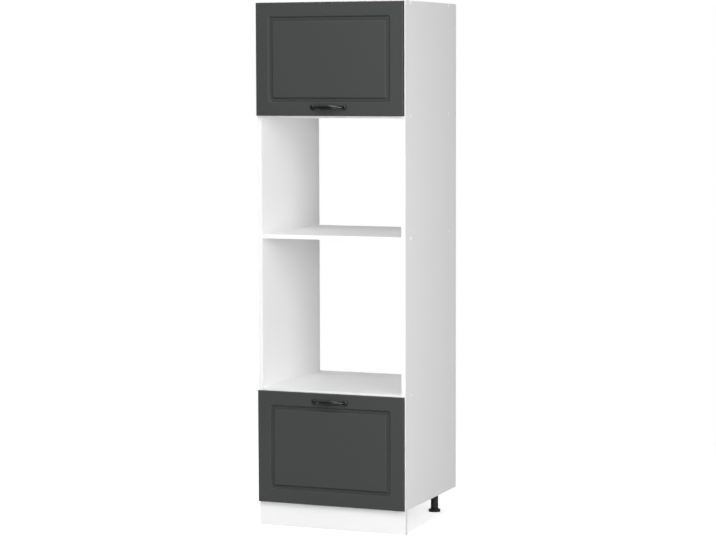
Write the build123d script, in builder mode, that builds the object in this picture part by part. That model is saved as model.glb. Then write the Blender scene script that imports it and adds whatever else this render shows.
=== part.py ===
"""Tall kitchen cabinet for a built-in microwave and oven, with a lift-up flap above and a drawer below."""

import os
from math import cos, hypot, radians, sin

from build123d import *

os.makedirs("parts", exist_ok=True)

# Overall sizes, millimetres; +Z up, the fronts face -Y, the floor is Z = 0
width = 600.0
depth = 560.0
height = 2000.0
board = 16.0  # melamine board
back_thick = 3.0  # hardboard backs
leg_height = 92.0  # floor to the underside of the carcass
drawer_bay = 407.5  # clear heights of the bays
oven_niche = 575.0
microwave_niche = 442.0

# Framed fronts
front_thick = 16.0
front_gap = 3.0  # behind the fronts, taken up by the bumpers
front_reveal = 2.0  # from the carcass outline to the front's edge
front_overlap = 8.0  # of a front over the edge of a fixed shelf
front_round = 3.0
frame_width = 52.0  # edge of the front to the milled channel
channel_width = 18.0
channel_slope = 4.0  # run of each channel wall
channel_depth = 5.0
channel_ease = 1.6  # run of the eased arris on each side of the channel
channel_ease_depth = 0.8

# Bow handles
handle_pitch = 128.0  # between the screws
handle_reach = 27.0
handle_edge = 32.0  # from the front's near edge
pad_half_height = 10.5
pad_half_width = 10.0
pad_thick = 8.0
pad_round = 6.0
bow_inset = 5.0  # screw to the foot of the bow, inwards
neck_half_height = 4.6
neck_half_width = 4.2
grip_half_height = 9.6
grip_half_thick = 3.0
handle_screw_radius = 2.0
handle_screw_grip = 6.0  # thread inside the handle's pad

# Screws
long_screw_length = 50.0
long_screw_shank = 3.4
long_screw_tip = 2.5
long_screw_head = 4.9
long_head_thick = 3.0
long_screw_front = 60.0  # carcass front edge to the front row
long_screw_rear = 86.0  # carcass rear edge to the rear row
socket_radius = 2.3
socket_depth = 2.4
cap_radius = 6.0
cap_thick = 1.8
cap_round = 1.4
small_screw_radius = 1.6
small_screw_length = 14.0
flap_screw_length = 12.5  # short enough for the front's thickness
small_head_radius = 3.4
small_head_thick = 1.6
fit_clear = 0.05  # all round a screw, dowel or cup in its hole
tip_clear = 0.5  # under the end of a screw

# Cam fittings of the bottom panel
cam_radius = 7.5
cam_depth = 12.5
cam_distance = 34.0  # panel end to cam centre
cam_bolt_radius = 3.0
cam_bolt_thread = 10.0

# Legs, feet and plinth
leg_inset = 66.0
leg_tube = 14.5
leg_flange = 30.0
leg_flange_thick = 4.0
leg_collar = 18.0
leg_collar_height = 6.0
leg_screw_radius = 24.0
foot_radius = 23.5
foot_height = 14.0
foot_disc = 10.0  # height of the round base under the flare
foot_flare = 4.0
foot_round = 3.0
stem_radius = 7.9
stem_length = 48.0
running_clear = 0.08  # radial, between pieces that slide or turn
stop_gap = 0.3  # between pieces that meet at the end of a travel
plinth_gap = 1.0  # plinth to floor and to carcass
clip_height = 22.0
clip_wall = 3.0

# Flap hinges: one pin per cup, inside the flap's thickness
hinge_inset = 92.0  # flap end to hinge
pivot_in = 7.0  # flap face to pin
pivot_down = 7.3  # flap top edge to pin
pin_radius = 1.25
eye_radius = 2.2
arm_drop = 12.1  # pin to the arm's straight run
arm_thick = 2.5
arm_width = 9.6
arm_length = 58.0  # behind the carcass front
plate_setback = 22.0  # carcass front to hinge plate
plate_wing = 2.5
plate_cheek = 2.0  # hinge plate past each side of the arm
cup_radius = 17.5
cup_edge = 3.0  # flap top edge to cup
cup_depth = 12.5
cup_wall = 0.8
ear_thick = 1.2
ear_clear = 0.5
flange_thick = 1.2
wing_drop = 10.0
wing_span = 58.0
wing_height = 12.0
cup_screw_pitch = 45.0

# Gas struts, placed from the flap's outer top edge: in is rearward, down is downward
strut_offset = 16.0  # side panel to strut centre line
anchor_in = 105.0
anchor_base = 170.0  # drop of the anchor under any flap
anchor_share = 0.094  # of the flap's height, added to that drop
ball_in = 40.0
ball_down = 50.0
strut_tube = 7.5
strut_bore = 6.3
strut_rod = 3.0
strut_boss = 7.0
strut_boss_width = 8.0
strut_neck = 3.5
strut_pin = 3.0
strut_stud = 4.0
stud_end = 1.0  # stud past the tube's eye
boss_step = 1.0  # rod eye and anchor collar, smaller than the tube's eye
strut_front = 22.0  # tube end to rod-end pin with the flap shut
rod_share = 0.505  # of the tube that the rod fills with the flap shut
bracket_thick = 2.0
bracket_rim = 7.0  # past the screws of an anchor or a hinge plate
lug_lift = 6.0  # ball to the middle of its lug
lug_rim = 10.0  # ball to the lug's rear edge
eye_ease = 1.2  # round the pin with the flap shut
eye_spread = 7.0  # round the pin at the far end of its play
eye_shift_in = -7.7
eye_shift_up = 11.6

# Drawer and its runners
drawer_length = 495.0
drawer_side_height = 220.0
drawer_lift = 22.0  # above the bottom panel
drawer_bottom_lift = 10.0
groove_depth = 7.0
front_screw_in = 40.0  # drawer's sides and upper edge to the screws of its front
front_screw_low = 45.0  # drawer's lower edge to the same screws
box_screw_in = 28.0  # drawer's upper and lower edge to its corner screws
runner_space = 13.0  # drawer side to carcass side
runner_length = 480.0
runner_setback = 3.0
runner_lift = 70.0  # drawer's lower edge to the runner's centre line
rail_metal = 1.2
rail_height = 45.0
slot_width = 10.0  # in the middle rail, over the screw heads
rail_step = 6.0  # each rail inside the next

# Wall bracket
bracket_leg = 32.0
bracket_width = 64.0
bracket_screw_in = 12.0  # bracket end to its screws
wall_hole_radius = 2.75
wall_hole_pitch = 32.0
wall_hole_drop = 18.0

# Derived levels, from the floor up
bottom_top = leg_height + board
lower_shelf_z = bottom_top + drawer_bay
middle_shelf_z = lower_shelf_z + board + oven_niche
upper_shelf_z = middle_shelf_z + board + microwave_niche
top_z = height - board

# Derived depth stations and half widths
front_reach = handle_reach + front_thick + front_gap
overall_depth = front_reach + depth + back_thick + small_head_thick
y_front = front_reach - overall_depth / 2
y_rear = y_front + depth
y_face = y_front - front_gap - front_thick
y_inside = y_front - front_gap
inner_half = width / 2 - board
front_half = width / 2 - front_reveal

# Edges of the two fronts
flap_top = height - front_reveal
flap_bottom = upper_shelf_z + board - front_overlap
drawer_top = lower_shelf_z + front_overlap
drawer_bottom_edge = leg_height + front_reveal

sides = (("left", -1), ("right", 1))
middle = Align.CENTER
low = Align.MIN
high = Align.MAX


def keep(piece, name):
    piece.part.label = name
    export_step(piece.part, f"parts/{name}.step")


def facing(x, y, z, direction):
    return Plane(origin=(x, y, z), z_dir=direction)


# Places of the carcass screws: two rows on each side, at the top panel and the three fixed shelves
panel_levels = [z + board / 2 for z in (top_z, upper_shelf_z, middle_shelf_z, lower_shelf_z)]
screw_rows = [y_front + long_screw_front, y_rear - long_screw_rear]
long_places = {
    s: [facing(s * width / 2, y, z, (s, 0, 0)) for y in screw_rows for z in panel_levels] for _, s in sides
}
head_pocket = long_head_thick + fit_clear

# Places of the cam bolts in the side panels, and of the cams under the bottom panel
cam_z = leg_height + board / 2
cam_bolt_places = {s: [facing(s * inner_half, y, cam_z, (-s, 0, 0)) for y in screw_rows] for _, s in sides}
cam_x = inner_half - cam_distance
cam_places = [facing(s * cam_x, y, leg_height, (0, 0, -1)) for _, s in sides for y in screw_rows]

# Places of the screws of the two backs, in the rear edges of the panels
upper_back_low = upper_shelf_z + front_reveal
upper_back_high = height - front_reveal
lower_back_low = leg_height + front_reveal
lower_back_high = lower_shelf_z + board - front_reveal
back_y = y_rear + back_thick
back_screw_x = width / 2 - board / 2
back_margin = 40.0
upper_back_places = [
    facing(x, back_y, z, (0, 1, 0))
    for x, z in (
        (-back_screw_x, upper_back_low + back_margin),
        (back_screw_x, upper_back_low + back_margin),
        (-back_screw_x, upper_back_high - back_margin),
        (back_screw_x, upper_back_high - back_margin),
        (0, upper_shelf_z + board / 2),
        (-inner_half / 2, top_z + board / 2),
        (inner_half / 2, top_z + board / 2),
    )
]
lower_back_places = [
    facing(x, back_y, z, (0, 1, 0))
    for x, z in (
        (-back_screw_x, lower_back_low + back_margin),
        (back_screw_x, lower_back_low + back_margin),
        (-back_screw_x, lower_back_high - back_margin),
        (back_screw_x, lower_back_high - back_margin),
        (0, lower_shelf_z + board / 2),
        (0, leg_height + board / 2),
    )
]
back_places = upper_back_places + lower_back_places

# Places of the hinges: pin line, plate and screws
hinge_x = front_half - hinge_inset
pivot_y = y_face + pivot_in
pivot_z = flap_top - pivot_down
arm_top = pivot_z - arm_drop
arm_low = arm_top - arm_thick
plate_length = arm_length - plate_setback
plate_y = y_front + plate_setback + plate_length / 2
plate_screw_x = 16.0
plate_places = [
    facing(s * hinge_x + dx, plate_y, top_z - plate_wing, (0, 0, -1))
    for _, s in sides
    for dx in (-plate_screw_x, plate_screw_x)
]
cup_z = flap_top - cup_edge - cup_radius
cup_screw_places = [
    facing(s * hinge_x + dx, y_inside + flange_thick, cup_z - wing_drop, (0, 1, 0))
    for _, s in sides
    for dx in (-cup_screw_pitch / 2, cup_screw_pitch / 2)
]

# Places of the gas struts: anchor on the side panel, ball on the flap
strut_x = inner_half - strut_offset
anchor_y = y_face + anchor_in
anchor_z = flap_top - anchor_base - anchor_share * (flap_top - flap_bottom)
ball_y = y_face + ball_in
ball_z = flap_top - ball_down
strut_length = hypot(ball_y - anchor_y, ball_z - anchor_z)
strut_dir = (0, (ball_y - anchor_y) / strut_length, (ball_z - anchor_z) / strut_length)
anchor_screw_gap = 16.0
anchor_places = {
    s: [
        facing(s * (inner_half - bracket_thick), anchor_y, anchor_z + dz, (-s, 0, 0))
        for dz in (-anchor_screw_gap, anchor_screw_gap)
    ]
    for _, s in sides
}
lug_x = strut_x - strut_boss_width / 2 - bracket_thick
lug_half_height = 21.0
lug_mid_z = ball_z + lug_lift
flap_plate_width = 22.0
flap_bracket_places = {
    s: [
        facing(s * (lug_x - flap_plate_width / 2), y_inside + bracket_thick, lug_mid_z + dz, (0, 1, 0))
        for dz in (-lug_half_height / 2, lug_half_height / 2)
    ]
    for _, s in sides
}

# Places of the legs and their screws
leg_x = width / 2 - leg_inset
leg_y = {"front": y_front + leg_inset, "rear": y_rear - leg_inset}
leg_spots = [(f"{end}_{name}", s * leg_x, y) for end, y in leg_y.items() for name, s in sides]
leg_screw_places = [
    facing(x + dx, y, leg_height - leg_flange_thick, (0, 0, -1))
    for _, x, y in leg_spots
    for dx in (-leg_screw_radius, leg_screw_radius)
]

# Places of the runners and their screws
box_z = bottom_top + drawer_lift
runner_z = box_z + runner_lift
runner_y = y_front + runner_setback
box_half = inner_half - runner_space
runner_screw_y = [runner_y + 0.08 * runner_length, runner_y + 0.92 * runner_length]
outer_rail_x = inner_half - rail_metal
inner_rail_x = box_half + rail_metal
outer_rail_places = {
    s: [facing(s * outer_rail_x, y, runner_z, (-s, 0, 0)) for y in runner_screw_y] for _, s in sides
}
inner_rail_places = {
    s: [facing(s * inner_rail_x, y, runner_z, (s, 0, 0)) for y in runner_screw_y] for _, s in sides
}

# Places of the wall bracket's screws and of the holes through the back
bracket_screw_x = bracket_width / 2 - bracket_screw_in
bracket_places = [
    facing(s * bracket_screw_x, y_rear - bracket_leg / 2, top_z - bracket_thick, (0, 0, -1)) for _, s in sides
]
wall_hole_z = top_z - wall_hole_drop
wall_holes = [facing(s * wall_hole_pitch / 2, back_y, wall_hole_z, (0, 1, 0)) for _, s in sides]

# Pilot holes hold a small screw with clearance all round
pilot = small_screw_radius + fit_clear
pilot_depth = small_screw_length + tip_clear

# Side panels
for name, s in sides:
    with BuildPart() as side_panel:
        with Locations((s * (inner_half + board / 2), y_front + depth / 2, leg_height)):
            Box(board, depth, height - leg_height, align=(middle, middle, low))
        with Locations(*long_places[s]):
            CounterBoreHole(long_screw_shank + fit_clear, long_screw_head + fit_clear, head_pocket)
        with Locations(*cam_bolt_places[s]):
            Hole(cam_bolt_radius + fit_clear, cam_bolt_thread + tip_clear)
        with Locations(*back_places):
            Hole(pilot, pilot_depth)
        with Locations(*anchor_places[s], *outer_rail_places[s]):
            Hole(pilot, pilot_depth)
    keep(side_panel, f"{name}_side")

# Fixed panels between the sides, each drilled from both ends for the carcass screws
with BuildPart() as top_panel:
    with Locations((0, y_front + depth / 2, top_z)):
        Box(2 * inner_half, depth, board, align=(middle, middle, low))
    with Locations(*long_places[-1], *long_places[1]):
        Hole(long_screw_tip + fit_clear, long_screw_length + tip_clear)
    with Locations(*plate_places, *bracket_places, *back_places):
        Hole(pilot, pilot_depth)
keep(top_panel, "top_panel")

for name, z in (("upper", upper_shelf_z), ("middle", middle_shelf_z), ("lower", lower_shelf_z)):
    with BuildPart() as shelf:
        with Locations((0, y_front + depth / 2, z)):
            Box(2 * inner_half, depth, board, align=(middle, middle, low))
        with Locations(*long_places[-1], *long_places[1]):
            Hole(long_screw_tip + fit_clear, long_screw_length + tip_clear)
        with Locations(*back_places):
            Hole(pilot, pilot_depth)
    keep(shelf, f"{name}_shelf")

with BuildPart() as bottom_panel:
    with Locations((0, y_front + depth / 2, leg_height)):
        Box(2 * inner_half, depth, board, align=(middle, middle, low))
    with Locations(*cam_places):
        Hole(cam_radius + fit_clear, cam_depth + fit_clear)
    with Locations(*[facing(s * inner_half, y, cam_z, (s, 0, 0)) for _, s in sides for y in screw_rows]):
        Hole(cam_bolt_radius + fit_clear, cam_distance)
    with Locations(*leg_screw_places, *back_places):
        Hole(pilot, small_screw_length + tip_clear)
keep(bottom_panel, "bottom_panel")

# Hardboard backs behind the flap's bay and the drawer's bay; the niches stay open to the rear
for name, z_low, z_high, places in (
    ("upper", upper_back_low, upper_back_high, upper_back_places),
    ("lower", lower_back_low, lower_back_high, lower_back_places),
):
    with BuildPart() as back_panel:
        with Locations((0, y_rear, z_low)):
            Box(2 * front_half, back_thick, z_high - z_low, align=(middle, low, low))
        with Locations(*places):
            Hole(pilot)
        with Locations(*wall_holes):
            Hole(wall_hole_radius)
    keep(back_panel, f"{name}_back")

with BuildPart() as back_screws:
    with Locations(*back_places):
        Cylinder(small_head_radius, small_head_thick, align=(middle, middle, low))
        Cylinder(small_screw_radius, small_screw_length, align=(middle, middle, high))
keep(back_screws, "back_screws")

# Long carcass screws with a hexagon socket, sunk in the sides, and the white caps over them
with BuildPart() as carcass_screws:
    for _, s in sides:
        with Locations(*[place.offset(-fit_clear) for place in long_places[s]]):
            Cylinder(long_screw_head, long_head_thick, align=(middle, middle, high))
            Cylinder(long_screw_shank, board - fit_clear, align=(middle, middle, high))
            Cylinder(long_screw_tip, long_screw_length - fit_clear, align=(middle, middle, high))
            Cylinder(socket_radius, socket_depth, align=(middle, middle, high), mode=Mode.SUBTRACT)
keep(carcass_screws, "carcass_screws")

with BuildPart() as screw_caps:
    for _, s in sides:
        with Locations(*long_places[s]):
            Cylinder(cap_radius, cap_thick, align=(middle, middle, low))
            Cylinder(socket_radius - fit_clear, socket_depth - fit_clear, align=(middle, middle, high))
    rims = screw_caps.edges().group_by(Axis.X)
    fillet(rims[0] + rims[-1], cap_round)
keep(screw_caps, "screw_caps")

# Cam fittings that pull the sides onto the bottom panel
with BuildPart() as bottom_cams:
    with Locations(*cam_places):
        Cylinder(cam_radius, cam_depth, align=(middle, middle, high))
    for _, s in sides:
        with Locations(*[facing(s * inner_half, y, cam_z, (s, 0, 0)) for y in screw_rows]):
            Cylinder(
                cam_bolt_radius + fit_clear,
                cam_distance + fit_clear,
                align=(middle, middle, high),
                mode=Mode.SUBTRACT,
            )
keep(bottom_cams, "bottom_cams")

cam_bolt_x = inner_half + cam_bolt_thread
with BuildPart() as cam_bolts:
    for _, s in sides:
        with Locations(*[facing(s * cam_bolt_x, y, cam_z, (s, 0, 0)) for y in screw_rows]):
            Cylinder(cam_bolt_radius, cam_bolt_thread + cam_distance, align=(middle, middle, high))
keep(cam_bolts, "cam_bolts")

# Plinth board, clipped to the front legs
with BuildPart() as plinth:
    with Locations((0, y_front, plinth_gap)):
        Box(width, board, leg_height - 2 * plinth_gap, align=(middle, low, low))
keep(plinth, "plinth")

clip_low = foot_height + (leg_height - foot_height - clip_height) / 2
clip_bore = leg_tube + fit_clear
with BuildPart() as plinth_clips:
    for _, s in sides:
        with BuildSketch(Plane.XY.offset(clip_low)):
            with Locations((s * leg_x, leg_y["front"])):
                Circle(clip_bore + clip_wall)
            with Locations((s * leg_x, y_front + board)):
                Rectangle(2 * leg_tube, clip_wall, align=(middle, low))
                Rectangle(leg_tube, leg_inset - board, align=(middle, low))
            with Locations((s * leg_x, leg_y["front"])):
                Circle(clip_bore, mode=Mode.SUBTRACT)
                Rectangle(1.4 * leg_tube, 2 * leg_tube, align=(middle, low), mode=Mode.SUBTRACT)
        extrude(amount=clip_height)
keep(plinth_clips, "plinth_clips")

# Legs: screwed flange, collar and a bored tube; each foot's stem runs in the bore
tube_low = foot_height + stop_gap
for name, x, y in leg_spots:
    with BuildPart() as leg:
        with Locations((x, y, leg_height)):
            Cylinder(leg_flange, leg_flange_thick, align=(middle, middle, high))
            Cylinder(leg_collar, leg_flange_thick + leg_collar_height, align=(middle, middle, high))
        with Locations((x, y, tube_low)):
            Cylinder(leg_tube, leg_height - leg_flange_thick - tube_low, align=(middle, middle, low))
        with Locations((x, y, tube_low)):
            Cylinder(
                stem_radius + running_clear,
                stem_length + tip_clear,
                align=(middle, middle, low),
                mode=Mode.SUBTRACT,
            )
        with Locations(*leg_screw_places):
            Hole(pilot, leg_flange_thick)
    keep(leg, f"{name}_leg")

for name, x, y in leg_spots:
    with BuildPart() as foot:
        with Locations((x, y, 0)):
            Cylinder(foot_radius, foot_disc, align=(middle, middle, low))
        fillet(foot.edges().group_by(Axis.Z)[-1], foot_round)
        with Locations((x, y, foot_disc)):
            Cone(leg_tube + foot_flare, leg_tube, foot_height - foot_disc, align=(middle, middle, low))
        with Locations((x, y, foot_height)):
            Cylinder(stem_radius, stem_length, align=(middle, middle, low))
    keep(foot, f"{name}_foot")

# Small screws of the carcass fittings
with BuildPart() as fitting_screws:
    with Locations(*plate_places, *bracket_places, *leg_screw_places):
        Cylinder(small_head_radius, small_head_thick, align=(middle, middle, low))
        Cylinder(small_screw_radius, small_screw_length, align=(middle, middle, high))
    for _, s in sides:
        with Locations(*anchor_places[s], *outer_rail_places[s]):
            Cylinder(small_head_radius, small_head_thick, align=(middle, middle, low))
            Cylinder(small_screw_radius, small_screw_length, align=(middle, middle, high))
keep(fitting_screws, "fitting_screws")

# Hinge plates under the top panel
with BuildPart() as hinge_plates:
    for _, s in sides:
        with Locations((s * hinge_x, plate_y, top_z)):
            Box(2 * (plate_screw_x + bracket_rim), 2 * bracket_rim, plate_wing, align=(middle, middle, high))
            Box(arm_width + 2 * plate_cheek, plate_length, top_z - arm_top, align=(middle, middle, high))
    with Locations(*plate_places):
        Hole(pilot, plate_wing)
keep(hinge_plates, "hinge_plates")

# Hinge arms: a straight run under the plate, a neck down in front and the pin in its eye
ear_x = arm_width / 2 + ear_clear
for name, s in sides:
    with BuildPart() as hinge_arm:
        with BuildSketch(Plane.YZ.offset(s * hinge_x)):
            with Locations((pivot_y, pivot_z)):
                Circle(eye_radius)
            with Locations((pivot_y, arm_low)):
                Rectangle(arm_thick, pivot_z - arm_low, align=(middle, low))
            with Locations((pivot_y - arm_thick / 2, arm_low)):
                Rectangle(y_front + arm_length - pivot_y + arm_thick / 2, arm_thick, align=(low, low))
        extrude(amount=arm_width / 2, both=True)
        with Locations(facing(s * hinge_x, pivot_y, pivot_z, (1, 0, 0))):
            Cylinder(pin_radius, 2 * (ear_x + ear_thick))
    keep(hinge_arm, f"{name}_hinge_arm")

# Hinge cups in the flap, with two ears that turn on the pin
for name, s in sides:
    with BuildPart() as hinge_cup:
        cup_plane = Plane(origin=(s * hinge_x, y_inside, cup_z), x_dir=(1, 0, 0), z_dir=(0, -1, 0))
        with BuildSketch(cup_plane):
            Circle(cup_radius - fit_clear)
        extrude(amount=cup_depth)
        with BuildSketch(cup_plane):
            Circle(cup_radius - fit_clear)
            with Locations((0, -wing_drop)):
                SlotOverall(wing_span, wing_height)
        extrude(amount=-flange_thick)
        with BuildSketch(cup_plane.offset(cup_depth - cup_wall)):
            Circle(cup_radius - fit_clear - cup_wall)
        extrude(amount=-(cup_depth + flange_thick), mode=Mode.SUBTRACT)
        ear_low = pivot_z - 2 * pin_radius
        with Locations((s * hinge_x, y_inside - cup_depth + cup_wall / 2, ear_low)):
            for ear_side in (-1, 1):
                with Locations((ear_side * (ear_x + ear_thick / 2), 0, 0)):
                    Box(
                        ear_thick,
                        pivot_y + 2 * pin_radius - (y_inside - cup_depth + cup_wall / 2),
                        cup_z + cup_radius - 2.0 * cup_wall - ear_low,
                        align=(middle, low, low),
                    )
        with Locations(facing(s * hinge_x, pivot_y, pivot_z, (1, 0, 0))):
            Cylinder(pin_radius + fit_clear, 4 * ear_x, mode=Mode.SUBTRACT)
        with Locations(*cup_screw_places):
            Hole(pilot, flange_thick)
    keep(hinge_cup, f"{name}_hinge_cup")

# Strut anchors on the side panels
stud_length = strut_offset + strut_boss_width / 2 + stud_end
for name, s in sides:
    with BuildPart() as strut_anchor:
        with Locations((s * (inner_half - bracket_thick / 2), anchor_y, anchor_z)):
            Box(bracket_thick, 2 * strut_boss, 2 * (anchor_screw_gap + bracket_rim))
        with Locations(facing(s * inner_half, anchor_y, anchor_z, (-s, 0, 0))):
            Cylinder(strut_stud, stud_length, align=(middle, middle, low))
            Cylinder(
                strut_boss - boss_step,
                strut_offset - strut_boss_width / 2 - stop_gap,
                align=(middle, middle, low),
            )
        with Locations(*anchor_places[s]):
            Hole(pilot, bracket_thick)
    keep(strut_anchor, f"{name}_strut_anchor")

# Gas struts: tube with an eye on the anchor, rod with a piston and a pin in the flap's bracket
tube_end = strut_length - strut_front
strut_inside = rod_share * tube_end
gland = 8.0
for name, s in sides:
    strut_plane = Plane(origin=(s * strut_x, anchor_y, anchor_z), x_dir=(1, 0, 0), z_dir=strut_dir)
    with BuildPart(strut_plane) as strut_cylinder:
        Cylinder(strut_boss, strut_boss_width, rotation=(0, 90, 0))
        Cylinder(strut_neck, 2 * strut_boss, align=(middle, middle, low))
        with Locations((0, 0, 1.5 * strut_boss)):
            Cylinder(strut_tube, tube_end - 1.5 * strut_boss, align=(middle, middle, low))
        Cylinder(strut_stud + running_clear, 2 * strut_boss_width, rotation=(0, 90, 0), mode=Mode.SUBTRACT)
        bore_length = tube_end - gland - 2 * strut_boss
        with Locations((0, 0, 2 * strut_boss)):
            Cylinder(strut_bore, bore_length, align=(middle, middle, low), mode=Mode.SUBTRACT)
            Cylinder(strut_rod + running_clear, tube_end, align=(middle, middle, low), mode=Mode.SUBTRACT)
    keep(strut_cylinder, f"{name}_strut_cylinder")

    with BuildPart(strut_plane) as strut_rod_piece:
        with Locations((0, 0, strut_length)):
            Cylinder(strut_boss - boss_step, strut_boss_width, rotation=(0, 90, 0))
            with Locations((-s * strut_boss_width / 2, 0, 0)):
                Cylinder(strut_pin, 2 * (strut_boss_width + bracket_thick), rotation=(0, 90, 0))
            Cylinder(strut_rod, strut_front + strut_inside, align=(middle, middle, high))
        with Locations((0, 0, tube_end - strut_inside)):
            Cylinder(strut_bore - running_clear, gland, align=(middle, middle, low))
    keep(strut_rod_piece, f"{name}_strut_rod")

# Strut brackets on the flap: a plate on the flap and a lug with an eased eye for the rod's pin
for name, s in sides:
    with BuildPart() as strut_bracket:
        with Locations((s * (lug_x - flap_plate_width / 2), y_inside, lug_mid_z)):
            Box(flap_plate_width, bracket_thick, 2 * lug_half_height, align=(middle, low, middle))
        with BuildSketch(Plane.YZ.offset(s * lug_x - s * bracket_thick)):
            with Locations((y_inside, lug_mid_z)):
                Rectangle(ball_y + lug_rim - y_inside, 2 * lug_half_height, align=(low, middle))
            with BuildSketch(mode=Mode.PRIVATE) as eased_eye:
                with Locations((ball_y, ball_z)):
                    Circle(strut_pin + eye_ease)
                with Locations((ball_y + eye_shift_in, ball_z + eye_shift_up)):
                    Circle(strut_pin + eye_spread)
                make_hull()
            add(eased_eye.sketch, mode=Mode.SUBTRACT)
        extrude(amount=s * bracket_thick)
        with Locations(*flap_bracket_places[s]):
            Hole(pilot, bracket_thick)
    keep(strut_bracket, f"{name}_strut_bracket")

# Stations along the handle's arch, degrees from its right foot, and how far each has swelled to the grip
bow_turns = (0, 14, 30, 46, 62, 77, 90, 103, 118, 134, 150, 166, 180)
bow_swells = (0.1, 0.02, 0.08, 0.36, 0.72, 0.94, 1.0, 0.94, 0.72, 0.36, 0.08, 0.02, 0.1)

# Framed fronts: a flat slab with a milled channel round the middle panel, its arrises eased
wall_steps = (
    (0.0, -0.6 * channel_ease),
    (channel_ease_depth, 0.4 * channel_ease),
    (channel_depth, channel_slope),
)
for name, z_low, z_high, handle_z in (
    ("flap", flap_bottom, flap_top, flap_bottom + handle_edge),
    ("drawer", drawer_bottom_edge, drawer_top, drawer_top - handle_edge),
):
    front_height = z_high - z_low
    z_mid = (z_low + z_high) / 2
    handle_places = [facing(s * handle_pitch / 2, y_inside, handle_z, (0, 1, 0)) for _, s in sides]
    with BuildPart() as front:
        with Locations((0, y_face, z_mid)):
            Box(2 * front_half, front_thick, front_height, align=(middle, low, middle))
        fillet(front.faces().sort_by(Axis.Y)[0].edges(), front_round)
        face_plane = Plane(origin=(0, y_face, z_mid), x_dir=(1, 0, 0), z_dir=(0, -1, 0))
        outer = frame_width
        inner = frame_width + channel_width
        for deep, run in wall_steps:
            with BuildSketch(face_plane.offset(-deep)):
                RectangleRounded(
                    2 * (front_half - outer - run),
                    front_height - 2 * (outer + run),
                    channel_width / 2 - run,
                )
        loft(ruled=True, mode=Mode.SUBTRACT)
        for deep, run in reversed(wall_steps):
            with BuildSketch(face_plane.offset(-deep)):
                Rectangle(2 * (front_half - inner + run), front_height - 2 * (inner - run))
        loft(ruled=True)
        with Locations(*handle_places):
            Hole(handle_screw_radius + fit_clear)
        if name == "flap":
            with Locations(*[facing(s * hinge_x, y_inside, cup_z, (0, 1, 0)) for _, s in sides]):
                Hole(cup_radius, cup_depth + fit_clear)
            with Locations(*cup_screw_places, *flap_bracket_places[-1], *flap_bracket_places[1]):
                Hole(pilot, flap_screw_length + tip_clear)
        else:
            inner_front_y = y_inside + board
            front_screw_x = box_half - board - front_screw_in
            front_screw_z = (box_z + front_screw_low, box_z + drawer_side_height - front_screw_in)
            front_screw_places = [
                facing(s * front_screw_x, inner_front_y, z, (0, 1, 0))
                for _, s in sides
                for z in front_screw_z
            ]
            with Locations(*front_screw_places):
                Hole(pilot, 2 * small_screw_length + tip_clear)
    keep(front, f"{name}_front")

    # Bow handle: two domed pads on the front, joined by an arch that swells to a leaf-shaped grip
    with BuildPart() as handle:
        half = handle_pitch / 2
        for _, s in sides:
            with BuildSketch(Plane(origin=(s * half, y_face, handle_z), x_dir=(0, 0, 1), z_dir=(0, -1, 0))):
                Ellipse(pad_half_height, pad_half_width)
        extrude(amount=pad_thick)
        fillet(handle.edges().group_by(Axis.Y)[0], pad_round)
        rise = handle_reach - grip_half_thick
        for turn, swell in zip(bow_turns, bow_swells):
            x = (half - bow_inset) * cos(radians(turn))
            out = rise * sin(radians(turn))
            along = (-(half - bow_inset) * sin(radians(turn)), -rise * cos(radians(turn)), 0)
            tall = neck_half_height + swell * (grip_half_height - neck_half_height)
            thick = neck_half_width + swell * (grip_half_thick - neck_half_width)
            with BuildSketch(Plane(origin=(x, y_face - out, handle_z), x_dir=(0, 0, 1), z_dir=along)):
                Ellipse(tall, thick)
        loft()
        with Locations(*[facing(s * half, y_face, handle_z, (0, 1, 0)) for _, s in sides]):
            Hole(handle_screw_radius + fit_clear, handle_screw_grip + tip_clear)
    keep(handle, f"{name}_handle")

    with BuildPart() as handle_screws:
        with Locations(*handle_places):
            Cylinder(2 * handle_screw_radius, 1.1 * handle_screw_radius, align=(middle, middle, low))
            Cylinder(handle_screw_radius, front_thick + handle_screw_grip, align=(middle, middle, high))
    keep(handle_screws, f"{name}_handle_screws")

with BuildPart() as flap_fitting_screws:
    with Locations(*cup_screw_places, *flap_bracket_places[-1], *flap_bracket_places[1]):
        Cylinder(small_head_radius, small_head_thick, align=(middle, middle, low))
        Cylinder(small_screw_radius, flap_screw_length, align=(middle, middle, high))
keep(flap_fitting_screws, "flap_fitting_screws")

# Soft bumpers on the front edges of the sides, where the fronts close
bumper_radius = 4.0
bumper_inset = 24.0
with BuildPart() as bumpers:
    with Locations(
        *[
            facing(s * (inner_half + board / 2), y_front, z, (0, -1, 0))
            for _, s in sides
            for z in (flap_bottom + bumper_inset, drawer_top - bumper_inset)
        ]
    ):
        Cylinder(bumper_radius, front_gap - stop_gap, align=(middle, middle, low))
keep(bumpers, "bumpers")

# Angle bracket under the top panel, for screws through the back into a wall
with BuildPart() as wall_bracket:
    with Locations((0, y_rear, top_z)):
        Box(bracket_width, bracket_leg, bracket_thick, align=(middle, high, high))
        Box(bracket_width, bracket_thick, bracket_leg, align=(middle, high, high))
    with Locations(*bracket_places):
        Hole(pilot, bracket_thick)
    with Locations(*wall_holes):
        Hole(wall_hole_radius)
keep(wall_bracket, "wall_bracket")

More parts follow.
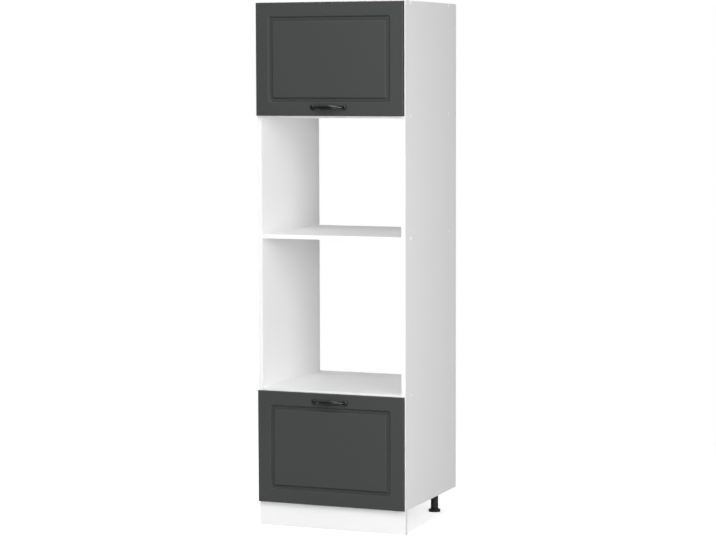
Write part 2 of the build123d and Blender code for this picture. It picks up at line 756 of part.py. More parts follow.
# Telescopic runners: three nested rails a side; the middle rail carries rounded beads where the ball rows run
rail_half = rail_height / 2
lip_height = 4.0
outer_lip = 9.0
outer_bead_in = 5.2
inner_bead_in = 7.4
mid_half = rail_half - rail_step
mid_in = 3.5
mid_out = 11.0
inner_rail_half = mid_half - rail_step
inner_in = 5.5
inner_out = runner_space
bead_outer = (rail_half - rail_metal - stop_gap - mid_half) / 2 + fit_clear
bead_inner = (mid_half - rail_metal - stop_gap - inner_rail_half) / 2 + fit_clear
for name, s in sides:
    rail_plane = Plane.XZ.offset(-runner_y)
    with BuildPart() as outer_rail:
        with BuildSketch(rail_plane):
            with Locations((s * (inner_half - rail_metal / 2), runner_z)):
                Rectangle(rail_metal, rail_height)
            for flange in (-1, 1):
                flange_z = runner_z + flange * (rail_half - rail_metal / 2)
                lip_z = runner_z + flange * (rail_half - lip_height / 2)
                with Locations((s * (inner_half - outer_lip / 2), flange_z)):
                    Rectangle(outer_lip, rail_metal)
                with Locations((s * (inner_half - outer_lip + rail_metal / 2), lip_z)):
                    Rectangle(rail_metal, lip_height)
        extrude(amount=-runner_length)
        with Locations(*outer_rail_places[s]):
            Hole(pilot, rail_metal)
    keep(outer_rail, f"{name}_runner_outer")

    with BuildPart() as mid_rail:
        with BuildSketch(rail_plane):
            with Locations((s * (inner_half - mid_in - rail_metal / 2), runner_z)):
                Rectangle(rail_metal, 2 * mid_half)
            for flange in (-1, 1):
                flange_z = runner_z + flange * (mid_half - rail_metal / 2)
                lip_z = runner_z + flange * (mid_half - lip_height / 2)
                with Locations((s * (inner_half - (mid_in + mid_out) / 2), flange_z)):
                    Rectangle(mid_out - mid_in, rail_metal)
                with Locations((s * (inner_half - mid_out + rail_metal / 2), lip_z)):
                    Rectangle(rail_metal, lip_height)
                outer_bead_z = runner_z + flange * (mid_half + bead_outer - fit_clear)
                inner_bead_z = runner_z + flange * (mid_half - rail_metal - bead_inner + fit_clear)
                with Locations((s * (inner_half - outer_bead_in), outer_bead_z)):
                    Circle(bead_outer)
                with Locations((s * (inner_half - inner_bead_in), inner_bead_z)):
                    Circle(bead_inner)
        extrude(amount=-runner_length)
        with Locations((s * (inner_half - mid_in - rail_metal / 2), runner_y + runner_length / 2, runner_z)):
            Box(2 * rail_metal, 0.84 * runner_length + 2 * slot_width, slot_width, mode=Mode.SUBTRACT)
    keep(mid_rail, f"{name}_runner_middle")

    with BuildPart() as inner_rail:
        with BuildSketch(rail_plane):
            with Locations((s * (inner_half - inner_out + rail_metal / 2), runner_z)):
                Rectangle(rail_metal, 2 * inner_rail_half)
            for flange in (-1, 1):
                flange_z = runner_z + flange * (inner_rail_half - rail_metal / 2)
                with Locations((s * (inner_half - (inner_in + inner_out) / 2), flange_z)):
                    Rectangle(inner_out - inner_in, rail_metal)
        extrude(amount=-runner_length)
        with Locations(*inner_rail_places[s]):
            Hole(pilot, rail_metal)
    keep(inner_rail, f"{name}_runner_inner")

# Drawer box: sides, inner front and back grooved for the bottom
groove_z = box_z + drawer_bottom_lift
groove_clear = 0.1
groove_plate = back_thick + 2 * groove_clear
inner_box = box_half - board
box_rear = y_inside + drawer_length
drawer_screw_length = 40.0
box_screw_z = (box_z + box_screw_in, box_z + drawer_side_height - box_screw_in)
box_screw_places = {
    s: [
        facing(s * box_half, y, z, (s, 0, 0))
        for y in (y_inside + board / 2, box_rear - board / 2)
        for z in box_screw_z
    ]
    for _, s in sides
}
for name, s in sides:
    with BuildPart() as drawer_side:
        with Locations((s * (inner_box + board / 2), y_inside, box_z)):
            Box(board, drawer_length, drawer_side_height, align=(middle, low, low))
        with Locations((s * inner_box, y_inside, groove_z)):
            Box(2 * groove_depth, 2 * drawer_length, groove_plate, mode=Mode.SUBTRACT)
        with Locations(*box_screw_places[s]):
            Hole(pilot)
        with Locations(*inner_rail_places[s]):
            Hole(pilot, pilot_depth)
    keep(drawer_side, f"drawer_{name}_side")

for name, y in (("inner_front", y_inside), ("back", box_rear - board)):
    with BuildPart() as drawer_end:
        with Locations((0, y, box_z)):
            Box(2 * inner_box, board, drawer_side_height, align=(middle, low, low))
        groove_y = y + board if name == "inner_front" else y
        with Locations((0, groove_y, groove_z)):
            Box(2 * inner_box, 2 * groove_depth, groove_plate, mode=Mode.SUBTRACT)
        with Locations(*box_screw_places[-1], *box_screw_places[1]):
            Hole(pilot, drawer_screw_length + tip_clear)
        if name == "inner_front":
            with Locations(*front_screw_places):
                Hole(pilot)
    keep(drawer_end, f"drawer_{name}")

with BuildPart() as drawer_bottom:
    with Locations((0, y_inside + board - groove_depth + groove_clear, groove_z)):
        Box(
            2 * (inner_box + groove_depth - groove_clear),
            drawer_length - 2 * (board - groove_depth + groove_clear),
            back_thick,
            align=(middle, low, middle),
        )
keep(drawer_bottom, "drawer_bottom")

with BuildPart() as drawer_box_screws:
    for _, s in sides:
        with Locations(*box_screw_places[s]):
            Cylinder(small_head_radius, small_head_thick, align=(middle, middle, low))
            Cylinder(small_screw_radius, drawer_screw_length, align=(middle, middle, high))
keep(drawer_box_screws, "drawer_box_screws")

with BuildPart() as drawer_fitting_screws:
    with Locations(*front_screw_places):
        Cylinder(small_head_radius, small_head_thick, align=(middle, middle, low))
        Cylinder(small_screw_radius, 2 * small_screw_length, align=(middle, middle, high))
    for _, s in sides:
        with Locations(*inner_rail_places[s]):
            Cylinder(small_head_radius, small_head_thick, align=(middle, middle, low))
            Cylinder(small_screw_radius, small_screw_length, align=(middle, middle, high))
keep(drawer_fitting_screws, "drawer_fitting_screws")
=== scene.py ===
import math

import bmesh
import bpy
from mathutils import Matrix, Vector


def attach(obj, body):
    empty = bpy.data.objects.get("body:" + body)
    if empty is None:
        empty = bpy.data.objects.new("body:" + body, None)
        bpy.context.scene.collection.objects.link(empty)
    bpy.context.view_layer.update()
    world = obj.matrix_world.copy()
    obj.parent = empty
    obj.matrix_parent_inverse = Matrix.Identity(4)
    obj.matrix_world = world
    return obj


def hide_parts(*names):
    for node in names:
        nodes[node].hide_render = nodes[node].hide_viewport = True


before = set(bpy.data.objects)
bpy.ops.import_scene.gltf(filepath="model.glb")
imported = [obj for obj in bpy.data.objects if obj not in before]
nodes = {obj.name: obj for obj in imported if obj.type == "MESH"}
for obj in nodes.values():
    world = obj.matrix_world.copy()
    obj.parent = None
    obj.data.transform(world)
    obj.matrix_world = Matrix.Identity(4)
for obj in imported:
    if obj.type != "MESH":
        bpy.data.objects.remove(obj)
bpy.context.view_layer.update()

mm = 0.001  # sizes below are written in millimetres where a name ends in Mm
mergeDistance = 0.005 * mm  # corners closer than this are one
turnedRear = 0.5  # share of a normal along +Y from which a face counts as turned to the rear
mixFactor, mixFirst, mixSecond, mixResult = 0, 6, 7, 2  # colour sockets of a Mix node, whose names repeat
white = (1.0, 1.0, 1.0, 1.0)
print("loaded", len(nodes), "CAD pieces")


def linear(hexColour):  # sRGB hex to the linear colour that sockets take
    parts = [int(hexColour[i:i + 2], 16) / 255 for i in (1, 3, 5)]
    return [p / 12.92 if p <= 0.04045 else ((p + 0.055) / 1.055) ** 2.4 for p in parts] + [1.0]


def perMetre(sizeMm):  # noise scale that gives a pattern of this size
    return 1 / (sizeMm * mm)


def addNode(tree, kind, values=None, links=None, **settings):
    node = tree.nodes.new(kind)
    for key, value in settings.items():
        setattr(node, key, value)
    for socket, value in (values or {}).items():
        node.inputs[socket].default_value = value
    for socket, source in (links or {}).items():
        tree.links.new(source, node.inputs[socket])
    return node


def startMaterial(name):
    made = bpy.data.materials.new(name)
    made.use_nodes = True
    made.node_tree.nodes.clear()
    return made, made.node_tree


def dress(material, slot, *names):  # one material over whole CAD nodes
    for name in names:
        piece = nodes[name]
        piece.data.materials.clear()
        piece.data.materials.append(material)


def makePiece(name, form, material):  # a finished bmesh as an object at the origin
    mesh = bpy.data.meshes.new(name)
    form.to_mesh(mesh)
    form.free()
    mesh.materials.clear()
    mesh.materials.append(material)
    piece = bpy.data.objects.new(name, mesh)
    bpy.context.scene.collection.objects.link(piece)
    return piece


# White melamine board: paper foil pressed on chipboard, satin, with a faint orange-peel from the press plate.
melamine = {
    "colour": "#F1F1F1",
    "ior": 1.5,
    "roughLow": 0.40,
    "roughHigh": 0.50,
    "cloudMm": 90.0,  # slow change of gloss across a board
    "cloudDetail": 3.0,
    "peelMm": 3.0,  # real peel is about 1 mm, drawn coarser so that it shows
    "peelDetail": 1.0,
    "peelDepthMm": 0.02,
    "peelStrength": 0.25,
}
whiteMelamine, tree = startMaterial("whiteMelamineBoard")
place = addNode(tree, "ShaderNodeTexCoord")
cloud = addNode(
    tree, "ShaderNodeTexNoise",
    {"Scale": perMetre(melamine["cloudMm"]), "Detail": melamine["cloudDetail"]},
    {"Vector": place.outputs["Object"]},
)
gloss = addNode(
    tree, "ShaderNodeMapRange",
    {"To Min": melamine["roughLow"], "To Max": melamine["roughHigh"]},
    {"Value": cloud.outputs["Fac"]},
)
peel = addNode(
    tree, "ShaderNodeTexNoise",
    {"Scale": perMetre(melamine["peelMm"]), "Detail": melamine["peelDetail"]},
    {"Vector": place.outputs["Object"]},
)
bump = addNode(
    tree, "ShaderNodeBump",
    {"Strength": melamine["peelStrength"], "Distance": melamine["peelDepthMm"] * mm},
    {"Height": peel.outputs["Fac"]},
)
shader = addNode(
    tree, "ShaderNodeBsdfPrincipled",
    {"Base Color": linear(melamine["colour"]), "IOR": melamine["ior"]},
    {"Roughness": gloss.outputs["Result"], "Normal": bump.outputs["Normal"]},
)
addNode(tree, "ShaderNodeOutputMaterial", None, {"Surface": shader.outputs["BSDF"]})

# Hardboard: white lacquer on the face inside, raw brown wood fibre on the face to the wall.
hardboard = {
    "lacquer": "#EDECE8",
    "fibreDark": "#6F5238",
    "fibreLight": "#94714F",
    "rough": 0.62,
    "ior": 1.48,
    "fibreMm": 4.0,  # fibre bundles, about 1 mm in life, drawn coarser so that they show
    "fibreDetail": 5.0,
    "fibreBreak": 0.75,  # how much the finer fibres count
    "fibreDepthMm": 0.05,
    "fibreStrength": 0.3,
    "mottleMm": 160.0,  # slow change of tone across a sheet
    "mottleDetail": 2.0,
    "mottleShare": 0.2,
    "toneLow": 0.35,  # pattern values at which the dark and the light fibre are full
    "toneHigh": 0.85,
}
whiteHardboard, tree = startMaterial("whiteFacedHardboard")
place = addNode(tree, "ShaderNodeTexCoord")
fibre = addNode(
    tree, "ShaderNodeTexNoise",
    {
        "Scale": perMetre(hardboard["fibreMm"]),
        "Detail": hardboard["fibreDetail"],
        "Roughness": hardboard["fibreBreak"],
    },
    {"Vector": place.outputs["Object"]},
)
mottle = addNode(
    tree, "ShaderNodeTexNoise",
    {"Scale": perMetre(hardboard["mottleMm"]), "Detail": hardboard["mottleDetail"]},
    {"Vector": place.outputs["Object"]},
)
tone = addNode(
    tree, "ShaderNodeMath", {1: hardboard["mottleShare"]},
    {0: mottle.outputs["Fac"], 2: fibre.outputs["Fac"]}, operation="MULTIPLY_ADD",
)
spread = addNode(
    tree, "ShaderNodeMapRange",
    {"From Min": hardboard["toneLow"], "From Max": hardboard["toneHigh"]},
    {"Value": tone.outputs["Value"]},
)
raw = addNode(
    tree, "ShaderNodeMix",
    {mixFirst: linear(hardboard["fibreDark"]), mixSecond: linear(hardboard["fibreLight"])},
    {mixFactor: spread.outputs["Result"]}, data_type="RGBA",
)
split = addNode(tree, "ShaderNodeSeparateXYZ", None, {"Vector": place.outputs["Normal"]})
rearward = addNode(
    tree, "ShaderNodeMath", {1: turnedRear}, {0: split.outputs["Y"]}, operation="GREATER_THAN",
)
face = addNode(
    tree, "ShaderNodeMix", {mixFirst: linear(hardboard["lacquer"])},
    {mixFactor: rearward.outputs["Value"], mixSecond: raw.outputs[mixResult]}, data_type="RGBA",
)
bump = addNode(
    tree, "ShaderNodeBump",
    {"Strength": hardboard["fibreStrength"], "Distance": hardboard["fibreDepthMm"] * mm},
    {"Height": fibre.outputs["Fac"]},
)
shader = addNode(
    tree, "ShaderNodeBsdfPrincipled", {"Roughness": hardboard["rough"], "IOR": hardboard["ior"]},
    {"Base Color": face.outputs[mixResult], "Normal": bump.outputs["Normal"]},
)
addNode(tree, "ShaderNodeOutputMaterial", None, {"Surface": shader.outputs["BSDF"]})

# Matt anthracite film drawn over milled fibreboard; the face inside is plain white laminate.
film = {
    "colour": "#3E403F",
    "inside": "#EFEFED",
    "rough": 0.42,
    "ior": 1.46,
    "specular": 0.28,  # soft-touch lacquer takes most of the shine away
    "grainMm": 1.4,  # soft-touch grain, about 0.3 mm in life, drawn coarser so that it shows
    "grainDetail": 2.0,
    "grainDepthMm": 0.02,
    "grainStrength": 0.2,
}
anthraciteFilm, tree = startMaterial("anthraciteFilmOnFibreboard")
place = addNode(tree, "ShaderNodeTexCoord")
split = addNode(tree, "ShaderNodeSeparateXYZ", None, {"Vector": place.outputs["Normal"]})
inward = addNode(
    tree, "ShaderNodeMath", {1: turnedRear}, {0: split.outputs["Y"]}, operation="GREATER_THAN",
)
face = addNode(
    tree, "ShaderNodeMix",
    {mixFirst: linear(film["colour"]), mixSecond: linear(film["inside"])},
    {mixFactor: inward.outputs["Value"]}, data_type="RGBA",
)
grain = addNode(
    tree, "ShaderNodeTexNoise",
    {"Scale": perMetre(film["grainMm"]), "Detail": film["grainDetail"]},
    {"Vector": place.outputs["Object"]},
)
bump = addNode(
    tree, "ShaderNodeBump",
    {"Strength": film["grainStrength"], "Distance": film["grainDepthMm"] * mm},
    {"Height": grain.outputs["Fac"]},
)
shader = addNode(
    tree, "ShaderNodeBsdfPrincipled",
    {"Roughness": film["rough"], "IOR": film["ior"], "Specular IOR Level": film["specular"]},
    {"Base Color": face.outputs[mixResult], "Normal": bump.outputs["Normal"]},
)
addNode(tree, "ShaderNodeOutputMaterial", None, {"Surface": shader.outputs["BSDF"]})

# Zinc casting with a satin black coat: deep black with soft highlights along the bow.
handleCoat = {"colour": "#0F0F10", "rough": 0.22, "ior": 1.5}
satinBlackCoat, tree = startMaterial("satinBlackCoatOnZinc")
shader = addNode(
    tree, "ShaderNodeBsdfPrincipled",
    {
        "Base Color": linear(handleCoat["colour"]),
        "Roughness": handleCoat["rough"],
        "IOR": handleCoat["ior"],
    },
)
addNode(tree, "ShaderNodeOutputMaterial", None, {"Surface": shader.outputs["BSDF"]})

# Moulded black polypropylene of the legs and feet: dull sheen with a spark-eroded grain.
legPlastic = {
    "colour": "#070707",
    "rough": 0.55,
    "ior": 1.49,
    "grainMm": 0.9,
    "grainDetail": 1.0,
    "grainDepthMm": 0.03,
    "grainStrength": 0.25,
}
blackPolypropylene, tree = startMaterial("mouldedBlackPolypropylene")
place = addNode(tree, "ShaderNodeTexCoord")
grain = addNode(
    tree, "ShaderNodeTexNoise",
    {"Scale": perMetre(legPlastic["grainMm"]), "Detail": legPlastic["grainDetail"]},
    {"Vector": place.outputs["Object"]},
)
bump = addNode(
    tree, "ShaderNodeBump",
    {"Strength": legPlastic["grainStrength"], "Distance": legPlastic["grainDepthMm"] * mm},
    {"Height": grain.outputs["Fac"]},
)
shader = addNode(
    tree, "ShaderNodeBsdfPrincipled",
    {
        "Base Color": linear(legPlastic["colour"]),
        "Roughness": legPlastic["rough"],
        "IOR": legPlastic["ior"],
    },
    {"Normal": bump.outputs["Normal"]},
)
addNode(tree, "ShaderNodeOutputMaterial", None, {"Surface": shader.outputs["BSDF"]})

# White polyethylene of the screw caps: smoother and a little brighter than the board round them.
capPlastic = {"colour": "#FAFAF9", "rough": 0.3, "ior": 1.51}
whitePolyethylene, tree = startMaterial("whitePolyethyleneCap")
shader = addNode(
    tree, "ShaderNodeBsdfPrincipled",
    {
        "Base Color": linear(capPlastic["colour"]),
        "Roughness": capPlastic["rough"],
        "IOR": capPlastic["ior"],
    },
)
addNode(tree, "ShaderNodeOutputMaterial", None, {"Surface": shader.outputs["BSDF"]})

# Clear soft polyurethane of the bumpers: milky, lets light through.
bumperGel = {"colour": "#E4E4E0", "rough": 0.3, "ior": 1.47, "clear": 0.6}
softPolyurethane, tree = startMaterial("softClearPolyurethane")
shader = addNode(
    tree, "ShaderNodeBsdfPrincipled",
    {
        "Base Color": linear(bumperGel["colour"]),
        "Roughness": bumperGel["rough"],
        "IOR": bumperGel["ior"],
        "Transmission Weight": bumperGel["clear"],
    },
)
addNode(tree, "ShaderNodeOutputMaterial", None, {"Surface": shader.outputs["BSDF"]})

# Bright zinc plate on pressed steel: bluish grey metal with slightly uneven gloss.
zincPlate = {
    "colour": "#C3C6C8",
    "metallic": 1.0,
    "roughLow": 0.24,
    "roughHigh": 0.38,
    "cloudMm": 9.0,
    "cloudDetail": 3.0,
}
zincPlatedSteel, tree = startMaterial("zincPlatedSteel")
place = addNode(tree, "ShaderNodeTexCoord")
cloud = addNode(
    tree, "ShaderNodeTexNoise",
    {"Scale": perMetre(zincPlate["cloudMm"]), "Detail": zincPlate["cloudDetail"]},
    {"Vector": place.outputs["Object"]},
)
gloss = addNode(
    tree, "ShaderNodeMapRange",
    {"To Min": zincPlate["roughLow"], "To Max": zincPlate["roughHigh"]},
    {"Value": cloud.outputs["Fac"]},
)
shader = addNode(
    tree, "ShaderNodeBsdfPrincipled",
    {"Base Color": linear(zincPlate["colour"]), "Metallic": zincPlate["metallic"]},
    {"Roughness": gloss.outputs["Result"]},
)
addNode(tree, "ShaderNodeOutputMaterial", None, {"Surface": shader.outputs["BSDF"]})

# Die-cast zinc of the cams: duller and darker than the plated steel.
castZinc = {"colour": "#A7A8AA", "metallic": 1.0, "rough": 0.45}
dieCastZinc, tree = startMaterial("dieCastZinc")
shader = addNode(
    tree, "ShaderNodeBsdfPrincipled",
    {
        "Base Color": linear(castZinc["colour"]),
        "Metallic": castZinc["metallic"],
        "Roughness": castZinc["rough"],
    },
)
addNode(tree, "ShaderNodeOutputMaterial", None, {"Surface": shader.outputs["BSDF"]})

# Satin grey enamel on the tubes of the gas struts.
strutEnamel = {"colour": "#8B8E90", "rough": 0.35, "ior": 1.5}
greyEnamel, tree = startMaterial("greyEnamelOnSteelTube")
shader = addNode(
    tree, "ShaderNodeBsdfPrincipled",
    {
        "Base Color": linear(strutEnamel["colour"]),
        "Roughness": strutEnamel["rough"],
        "IOR": strutEnamel["ior"],
    },
)
addNode(tree, "ShaderNodeOutputMaterial", None, {"Surface": shader.outputs["BSDF"]})

# Hard chrome on the ground rods: near mirror.
rodChrome = {"colour": "#DADBDE", "metallic": 1.0, "rough": 0.08}
hardChrome, tree = startMaterial("hardChromeRod")
shader = addNode(
    tree, "ShaderNodeBsdfPrincipled",
    {
        "Base Color": linear(rodChrome["colour"]),
        "Metallic": rodChrome["metallic"],
        "Roughness": rodChrome["rough"],
    },
)
addNode(tree, "ShaderNodeOutputMaterial", None, {"Surface": shader.outputs["BSDF"]})
print("materials made")

sides = ("left", "right")
corners = ("front_left", "front_right", "rear_left", "rear_right")
rails = ("outer", "middle", "inner")
dress(
    whiteMelamine, "white_board", "left_side", "right_side", "top_panel", "upper_shelf", "middle_shelf",
    "lower_shelf", "bottom_panel", "plinth",
)
dress(
    whiteMelamine, "white_board", "drawer_left_side", "drawer_right_side", "drawer_back",
    "drawer_inner_front",
)
dress(whiteHardboard, "white_hardboard", "upper_back", "lower_back", "drawer_bottom")
dress(satinBlackCoat, "black_handle", "flap_handle", "drawer_handle")
dress(softPolyurethane, "clear_plastic", "bumpers")
dress(blackPolypropylene, "black_plastic", "plinth_clips")
for corner in corners:
    dress(blackPolypropylene, "black_plastic", corner + "_leg", corner + "_foot")
dress(
    zincPlatedSteel, "zinc_steel", "back_screws", "carcass_screws", "cam_bolts", "fitting_screws",
    "flap_fitting_screws", "flap_handle_screws", "drawer_handle_screws", "drawer_box_screws",
    "drawer_fitting_screws", "hinge_plates", "wall_bracket",
)
for side in sides:
    dress(
        zincPlatedSteel, "zinc_steel", side + "_hinge_arm", side + "_hinge_cup", side + "_strut_anchor",
        side + "_strut_bracket", *[side + "_runner_" + rail for rail in rails],
    )
    dress(greyEnamel, "grey_tube", side + "_strut_cylinder")
    dress(hardChrome, "chrome_rod", side + "_strut_rod")
dress(dieCastZinc, "cast_zinc", "bottom_cams")
print("CAD pieces dressed")

# Framed fronts: a copy of each solid with the milled channel cut deeper, so that its walls read as dark and light
# lines from across a room, as they do on a wrapped front.
milledChannel = {
    "centreMm": 61.0,  # centre line of the channel from the edge of the front, on which its corners turn
    "solidDepthMm": 5.0,
    "depthMm": 8.0,
    "floorShare": 0.7,  # width of the channel's floor against the solid's
    "floorToleranceMm": 0.05,
    "cornerReachMm": 9.0,  # corners of the floor lie this near to where the centre lines cross
    "creaseDegrees": 22.0,  # edges that bend more are drawn sharp
}
for name, body in (("flap_front", "flap"), ("drawer_front", "drawer")):
    form = bmesh.new()
    form.from_mesh(nodes[name].data)
    bmesh.ops.remove_doubles(form, verts=form.verts[:], dist=mergeDistance)
    low = [min(v.co[i] for v in form.verts) for i in range(3)]
    high = [max(v.co[i] for v in form.verts) for i in range(3)]
    centre = milledChannel["centreMm"] * mm
    deep = low[1] + milledChannel["solidDepthMm"] * mm
    deeper = (0, (milledChannel["depthMm"] - milledChannel["solidDepthMm"]) * mm, 0)
    narrower = (milledChannel["floorShare"], 1, milledChannel["floorShare"])
    for pivotX in (low[0] + centre, high[0] - centre):
        for pivotZ in (low[2] + centre, high[2] - centre):
            pivot = Vector((pivotX, deep, pivotZ))
            corner = [
                v for v in form.verts
                if abs(v.co.y - deep) < milledChannel["floorToleranceMm"] * mm
                and (v.co - pivot).length < milledChannel["cornerReachMm"] * mm
            ]
            bmesh.ops.scale(form, vec=narrower, space=Matrix.Translation(-pivot), verts=corner)
            bmesh.ops.translate(form, vec=deeper, verts=corner)
    front = makePiece(name + "_milled", form, anthraciteFilm)
    front.data.attributes.remove(front.data.attributes["custom_normal"])  # the solid's normals no longer hold
    front.data.set_sharp_from_angle(angle=math.radians(milledChannel["creaseDegrees"]))
    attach(front, body)
    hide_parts(name)
print("fronts milled")

# Screw caps: moulded buttons with a sloping rim, which catches the light on the half that faces it.
capButton = {
    "outMm": 300.0,  # face of the side panels from the middle
    "columnsMm": (-199.3, 214.7),
    "rowsMm": (523.5, 1114.5, 1572.5, 1992.0),
    "ringsMm": (  # height and radius, from the middle of the top to the foot of the rim
        (1.8, 0.0), (1.79, 3.4), (1.7, 4.1), (1.45, 4.5), (0.9, 5.1), (0.4, 5.7), (0.0, 6.0),
    ),
    "steps": 32,
    "smoothSides": 4,  # faces with more sides are the flat undersides
}
form = bmesh.new()
for side in (-1, 1):
    for y in capButton["columnsMm"]:
        for z in capButton["rowsMm"]:
            rings = [
                form.verts.new((side * (capButton["outMm"] + h) * mm, y * mm, (z + r) * mm))
                for h, r in capButton["ringsMm"]
            ]
            spans = [form.edges.new(pair) for pair in zip(rings, rings[1:])]
            bmesh.ops.spin(
                form, geom=rings + spans, cent=(0, y * mm, z * mm), axis=(1, 0, 0),
                angle=2 * math.pi, steps=capButton["steps"], use_merge=True,
            )
bmesh.ops.remove_doubles(form, verts=form.verts[:], dist=mergeDistance)
bmesh.ops.holes_fill(form, edges=[e for e in form.edges if e.is_boundary], sides=0)  # any number of sides
bmesh.ops.recalc_face_normals(form, faces=form.faces[:])
for facet in form.faces:
    facet.smooth = len(facet.verts) <= capButton["smoothSides"]
caps = makePiece("screw_cap_domes", form, whitePolyethylene)
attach(caps, "carcass")
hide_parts("screw_caps")
print("screw caps moulded")

# Pale floor: plain and diffuse to the light. Where it is seen it is lifted,
# and it fades to white away from the cabinet.
studioFloor = {
    "halfSize": 14.0,  # metres, as are the fades
    "colour": "#B4B4B4",
    "shade": "#F2F2F2",
    "lift": 0.56,
    "fadeFrom": 0.7,
    "fadeTo": 2.6,
    "sweep": 1.0,  # strength at which the far floor is white
    "mirrored": 0.12,  # share of the lifted look that reflections see
}
paleFloor, tree = startMaterial("paleStudioFloor")
path = addNode(tree, "ShaderNodeLightPath")
plain = addNode(tree, "ShaderNodeBsdfDiffuse", {"Color": linear(studioFloor["colour"])})
shade = addNode(tree, "ShaderNodeBsdfDiffuse", {"Color": linear(studioFloor["shade"])})
glow = addNode(tree, "ShaderNodeEmission", {"Strength": studioFloor["lift"]})
lifted = addNode(tree, "ShaderNodeAddShader", None, {0: shade.outputs["BSDF"], 1: glow.outputs["Emission"]})
sweep = addNode(tree, "ShaderNodeEmission", {"Strength": studioFloor["sweep"]})
place = addNode(tree, "ShaderNodeTexCoord")
away = addNode(tree, "ShaderNodeVectorMath", None, {0: place.outputs["Object"]}, operation="LENGTH")
fade = addNode(
    tree, "ShaderNodeMapRange",
    {"From Min": studioFloor["fadeFrom"], "From Max": studioFloor["fadeTo"]},
    {"Value": away.outputs["Value"]}, interpolation_type="SMOOTHSTEP",
)
spread = addNode(
    tree, "ShaderNodeMixShader", None,
    {0: fade.outputs["Result"], 1: lifted.outputs["Shader"], 2: sweep.outputs["Emission"]},
)
mirrored = addNode(
    tree, "ShaderNodeMath", {1: studioFloor["mirrored"]},
    {0: path.outputs["Is Glossy Ray"]}, operation="MULTIPLY",
)
shown = addNode(
    tree, "ShaderNodeMath", None,
    {0: path.outputs["Is Camera Ray"], 1: mirrored.outputs["Value"]}, operation="MAXIMUM",
)
shownThrough = addNode(
    tree, "ShaderNodeMath", None,
    {0: shown.outputs["Value"], 1: path.outputs["Is Transmission Ray"]}, operation="MAXIMUM",
)
floorLook = addNode(
    tree, "ShaderNodeMixShader", None,
    {0: shownThrough.outputs["Value"], 1: plain.outputs["BSDF"], 2: spread.outputs["Shader"]},
)
addNode(tree, "ShaderNodeOutputMaterial", None, {"Surface": floorLook.outputs["Shader"]})
form = bmesh.new()
bmesh.ops.create_grid(form, x_segments=1, y_segments=1, size=studioFloor["halfSize"])
floor = makePiece("studioFloor", form, paleFloor)

# White backdrop for the camera; reflections see it white overhead and dimmer at the horizon; soft fill for the rest.
backdrop = {
    "fill": 0.23,
    "dim": 0.08,
    "bright": 1.0,
    "dimBelow": 0.05,  # heights of the direction between which reflections go from dim to bright
    "brightAbove": 0.7,
}
world = bpy.data.worlds.new("whiteStudio")
bpy.context.scene.world = world
world.use_nodes = True
tree = world.node_tree
tree.nodes.clear()
path = addNode(tree, "ShaderNodeLightPath")
seen = addNode(
    tree, "ShaderNodeMath", None,
    {0: path.outputs["Is Camera Ray"], 1: path.outputs["Is Transmission Ray"]}, operation="MAXIMUM",
)
place = addNode(tree, "ShaderNodeTexCoord")
heading = addNode(tree, "ShaderNodeSeparateXYZ", None, {"Vector": place.outputs["Generated"]})
falloff = addNode(
    tree, "ShaderNodeMapRange",
    {
        "From Min": backdrop["dimBelow"],
        "From Max": backdrop["brightAbove"],
        "To Min": backdrop["dim"],
        "To Max": backdrop["bright"],
    },
    {"Value": heading.outputs["Z"]},
)
fill = addNode(tree, "ShaderNodeBackground", {"Color": white, "Strength": backdrop["fill"]})
around = addNode(tree, "ShaderNodeBackground", {"Color": white}, {"Strength": falloff.outputs["Result"]})
paper = addNode(tree, "ShaderNodeBackground", {"Color": white, "Strength": backdrop["bright"]})
mirrored = addNode(
    tree, "ShaderNodeMixShader", None,
    {0: path.outputs["Is Glossy Ray"], 1: fill.outputs["Background"], 2: around.outputs["Background"]},
)
sky = addNode(
    tree, "ShaderNodeMixShader", None,
    {0: seen.outputs["Value"], 1: mirrored.outputs["Shader"], 2: paper.outputs["Background"]},
)
addNode(tree, "ShaderNodeOutputWorld", None, {"Surface": sky.outputs["Shader"]})

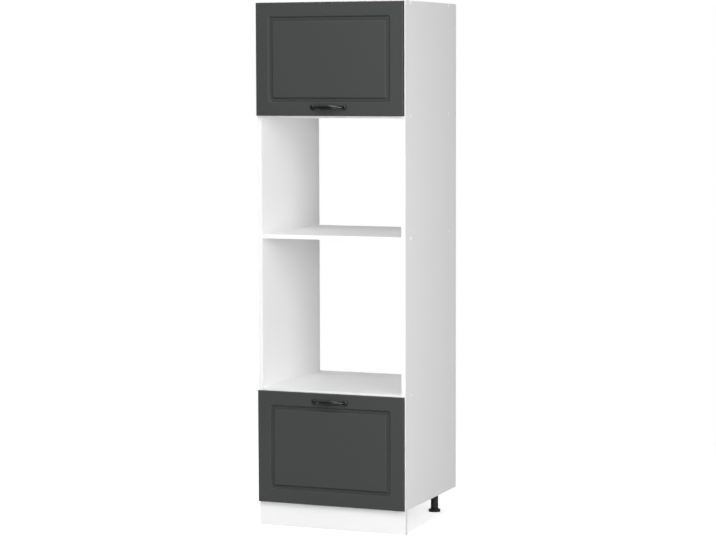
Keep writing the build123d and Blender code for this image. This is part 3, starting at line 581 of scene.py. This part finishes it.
# Softboxes, in metres and watts: place, side and power, and the aim where it isn't the middle of the cabinet.
middle = (0.0, 0.0, 1.0)
softboxes = {
    "keySoftbox": {"at": (2.637, -3.766, 1.161), "side": 2.2, "power": 71.0},
    "frontSoftbox": {"at": (0.400, -4.550, 0.700), "to": (0.0, 0.0, 0.4), "side": 1.2, "power": 16.0},
    "plinthSoftbox": {"at": (-1.1, -0.7, 0.16), "to": (-0.8, -0.55, -0.2), "side": 0.4, "power": 2.0},
    "sideSoftbox": {"at": (3.404, -2.856, 2.191), "side": 2.2, "power": 69.0},
    "topSoftbox": {"at": (0.239, -3.410, 4.078), "side": 2.2, "power": 83.0},
    "overheadSoftbox": {"at": (0.0, -0.401, 5.582), "side": 2.2, "power": 54.0},
    "rightSoftbox": {"at": (2.364, -0.417, 1.0), "side": 0.8, "power": 2.4},
    "rearSoftbox": {"at": (-3.754, 2.628, 1.401), "side": 2.2, "power": 80.0},
}
for name, box in softboxes.items():
    lamp = bpy.data.lights.new(name, "AREA")
    lamp.shape = "SQUARE"
    lamp.size = box["side"]
    lamp.energy = box["power"]
    holder = bpy.data.objects.new(name, lamp)
    aim = Vector(box.get("to", middle)) - Vector(box["at"])
    holder.location = box["at"]
    holder.rotation_euler = aim.to_track_quat("-Z", "Y").to_euler()
    bpy.context.scene.collection.objects.link(holder)
print("floor, backdrop and softboxes placed")

# Camera matched to the photograph's viewing angle, for a frame of 716 by 540.
viewpoint = {
    "at": (3.34973, -8.26839, 1.73521),
    "yaw": 0.38444,  # radians, as are the next two
    "pitch": -0.08531,
    "roll": -0.002747,
    "lensMm": 116.172,
    "sensorMm": 36.0,
    "farthest": 100.0,
}
lens = bpy.data.cameras.new("photoCamera")
lens.lens = viewpoint["lensMm"]
lens.sensor_width = viewpoint["sensorMm"]
lens.clip_end = viewpoint["farthest"]
camera = bpy.data.objects.new("photoCamera", lens)
turn = Matrix.Rotation(viewpoint["yaw"], 4, "Z")
turn = turn @ Matrix.Rotation(math.pi / 2 + viewpoint["pitch"], 4, "X")
turn = turn @ Matrix.Rotation(viewpoint["roll"], 4, "Z")
camera.matrix_world = Matrix.Translation(viewpoint["at"]) @ turn
bpy.context.scene.collection.objects.link(camera)
bpy.context.scene.camera = camera
bpy.context.scene.view_settings.view_transform = "Standard"
print("camera set")
